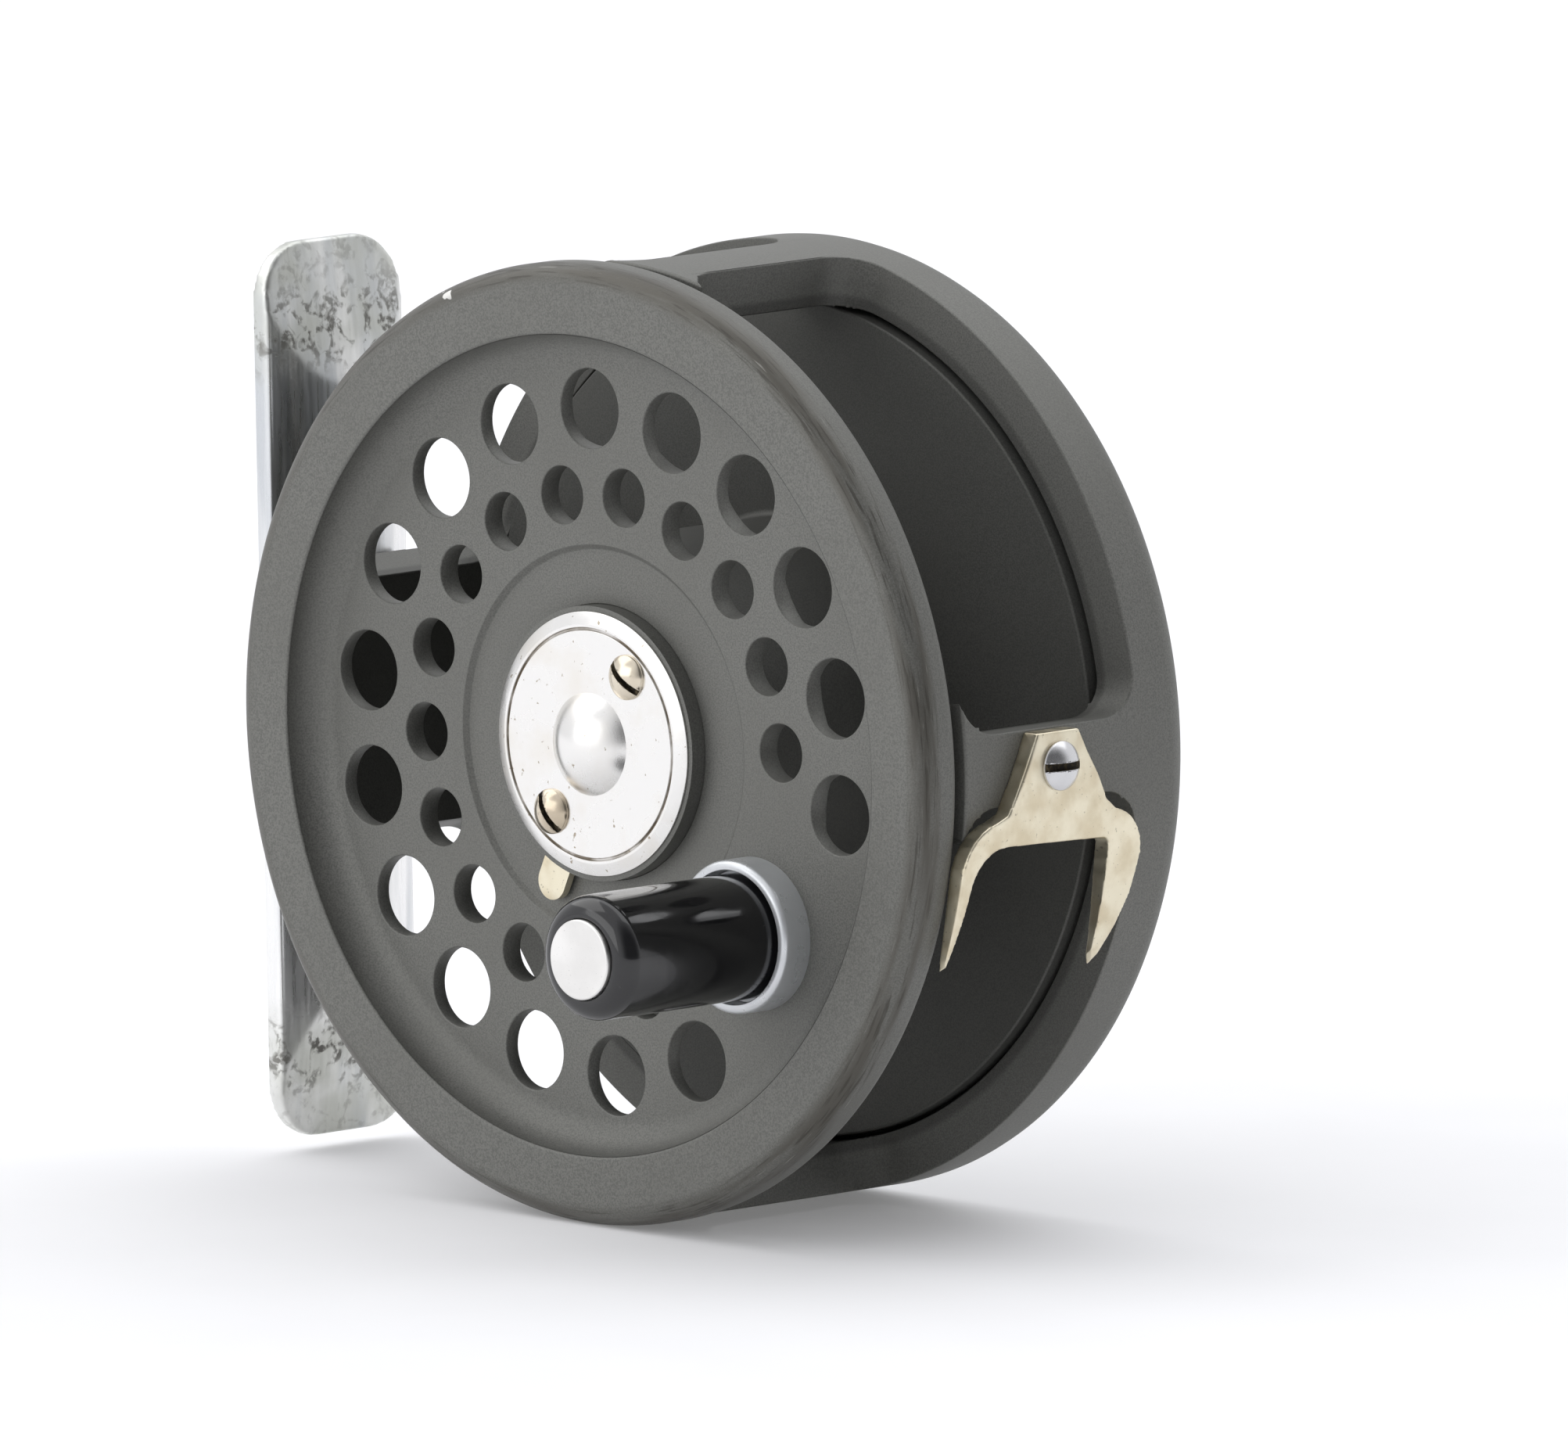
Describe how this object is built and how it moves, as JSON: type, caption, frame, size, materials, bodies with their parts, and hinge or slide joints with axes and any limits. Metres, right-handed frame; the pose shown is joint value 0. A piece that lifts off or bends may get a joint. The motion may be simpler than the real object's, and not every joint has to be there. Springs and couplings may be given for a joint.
{
  "type": "fly reel",
  "caption": "Small click-check fly reel: ported spool with palming rim on a fixed spindle in a cage frame, with handle, quick-release latch, line guard and foot.",
  "frame": {"origin": "middle of the foot's rod-side face", "axes": "+X from the rod through the spool axis to the line guard, +Y along the spool axis from the handle side to the back plate, +Z along the foot"},
  "size_m": [0.0803, 0.047, 0.072],
  "materials": {
    "frame_grey": "satin dark grey hard coat",
    "spool_grey": "satin dark grey hard coat, worn at the rim",
    "bright_aluminium": "polished and turned",
    "nickel_silver": "polished, slightly tarnished",
    "steel": "machined",
    "spring_steel": "blued spring temper",
    "pawl_bronze": "machined bronze",
    "brass": "reamed",
    "black_grip": "polished black"
  },
  "bodies": {
    "frame": {"frame": "frame_grey", "spindle": "steel", "spindle_screws": "steel", "reel_foot": "bright_aluminium", "foot_screws": "steel", "line_guard": "nickel_silver", "line_guard_screw": "nickel_silver", "pawl_posts": "steel", "spring_posts": "steel", "check_springs": "spring_steel"},
    "pawl_left": {"check_pawl_left": "pawl_bronze"},
    "pawl_right": {"check_pawl_right": "pawl_bronze"},
    "adjuster": {"adjuster_knob": "bright_aluminium", "adjuster_cam": "pawl_bronze", "adjuster_screw": "steel"},
    "spool": {"spool": "spool_grey", "spool_bushing": "brass", "check_wheel": "steel", "check_wheel_screws": "steel", "latch_housing": "frame_grey", "latch_spring": "spring_steel", "spool_cap": "bright_aluminium", "cap_screws": "nickel_silver", "handle_collar": "bright_aluminium", "handle_pin": "bright_aluminium"},
    "latch": {"latch_lever": "nickel_silver"},
    "grip": {"handle_grip": "black_grip"}
  },
  "joints": [
    {"name": "spool_spin", "type": "hinge", "parent": "frame", "child": "spool", "pos_m": [0.042, -0.00265, 0], "axis": [0, -1, 0], "continuous": true},
    {"name": "grip_spin", "type": "hinge", "parent": "spool", "child": "grip", "pos_m": [0.05763, -0.02265, -0.01311], "axis": [0, -1, 0], "continuous": true},
    {"name": "latch_swing", "type": "hinge", "parent": "spool", "child": "latch", "pos_m": [0.04608, -0.01285, 0.00532], "axis": [0, -1, 0], "range_deg": [0, 5.5], "stiffness_Nm_per_rad": 0.05, "springref_deg": -5.73},
    {"name": "pawl_left_swing", "type": "hinge", "parent": "frame", "child": "pawl_left", "pos_m": [0.03575, 0.00925, 0.01082], "axis": [0, -1, 0], "range_deg": [-3, 3], "stiffness_Nm_per_rad": 0.02},
    {"name": "pawl_right_swing", "type": "hinge", "parent": "frame", "child": "pawl_right", "pos_m": [0.04825, 0.00925, 0.01082], "axis": [0, -1, 0], "range_deg": [-3, 3], "stiffness_Nm_per_rad": 0.02},
    {"name": "adjuster_turn", "type": "hinge", "parent": "frame", "child": "adjuster", "pos_m": [0.042, 0.01215, 0.02], "axis": [0, -1, 0], "range_deg": [-60, 60]}
  ]
}
